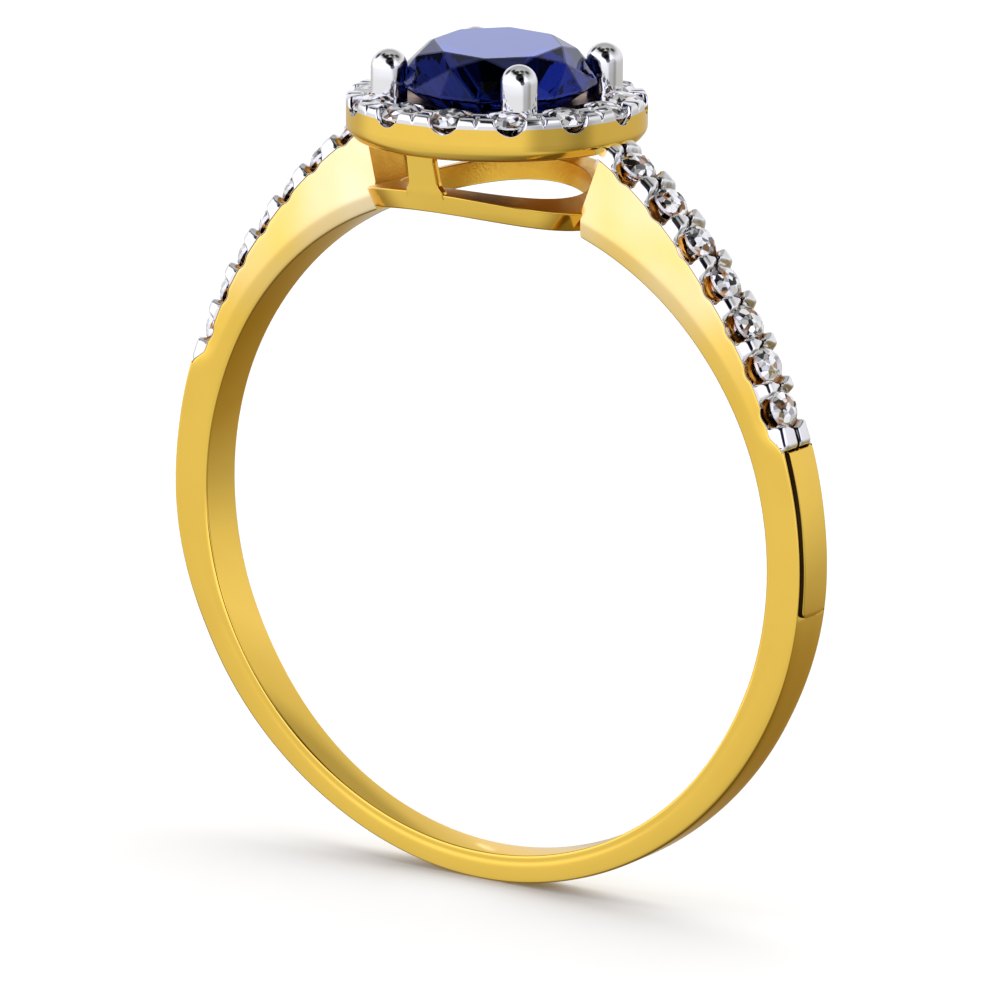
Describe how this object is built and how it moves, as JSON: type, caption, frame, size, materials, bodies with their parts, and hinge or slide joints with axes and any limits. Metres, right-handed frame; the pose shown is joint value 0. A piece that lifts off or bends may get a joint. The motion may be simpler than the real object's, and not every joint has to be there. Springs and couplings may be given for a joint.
{
  "type": "engagement ring",
  "caption": "Yellow gold halo ring: round blue centre stone in four claws, small diamonds round it and down both shoulders.",
  "frame": {"origin": "centre of the finger hole, on the finger's axis and in the middle of the band's width", "axes": "+Z from the finger hole up through the head to the centre stone; Y along the finger; X across the ring"},
  "size_m": [0.0192, 0.0076, 0.0216],
  "materials": {
    "yellow_gold": "high polish yellow gold",
    "white_gold": "high polish white gold with rhodium plating",
    "sapphire": "faceted deep blue gemstone",
    "diamond": "faceted colourless gemstone"
  },
  "bodies": {
    "root": {"shank": "yellow_gold", "halo_band": "yellow_gold", "centre_seat": "yellow_gold", "gallery_rail": "yellow_gold", "gallery_post_front": "yellow_gold", "gallery_post_back": "yellow_gold", "halo_pave_plate": "white_gold", "claw_1": "white_gold", "claw_2": "white_gold", "claw_3": "white_gold", "claw_4": "white_gold", "left_pave_rail": "white_gold", "right_pave_rail": "white_gold", "sapphire": "sapphire", "halo_diamond_1": "diamond", "halo_diamond_2": "diamond", "halo_diamond_3": "diamond", "halo_diamond_4": "diamond", "halo_diamond_5": "diamond", "halo_diamond_6": "diamond", "halo_diamond_7": "diamond", "halo_diamond_8": "diamond", "halo_diamond_9": "diamond", "halo_diamond_10": "diamond", "halo_diamond_11": "diamond", "halo_diamond_12": "diamond", "halo_diamond_13": "diamond", "halo_diamond_14": "diamond", "left_diamond_1": "diamond", "left_diamond_2": "diamond", "left_diamond_3": "diamond", "left_diamond_4": "diamond", "left_diamond_5": "diamond", "left_diamond_6": "diamond", "left_diamond_7": "diamond", "right_diamond_1": "diamond", "right_diamond_2": "diamond", "right_diamond_3": "diamond", "right_diamond_4": "diamond", "right_diamond_5": "diamond", "right_diamond_6": "diamond", "right_diamond_7": "diamond"}
  },
  "joints": []
}
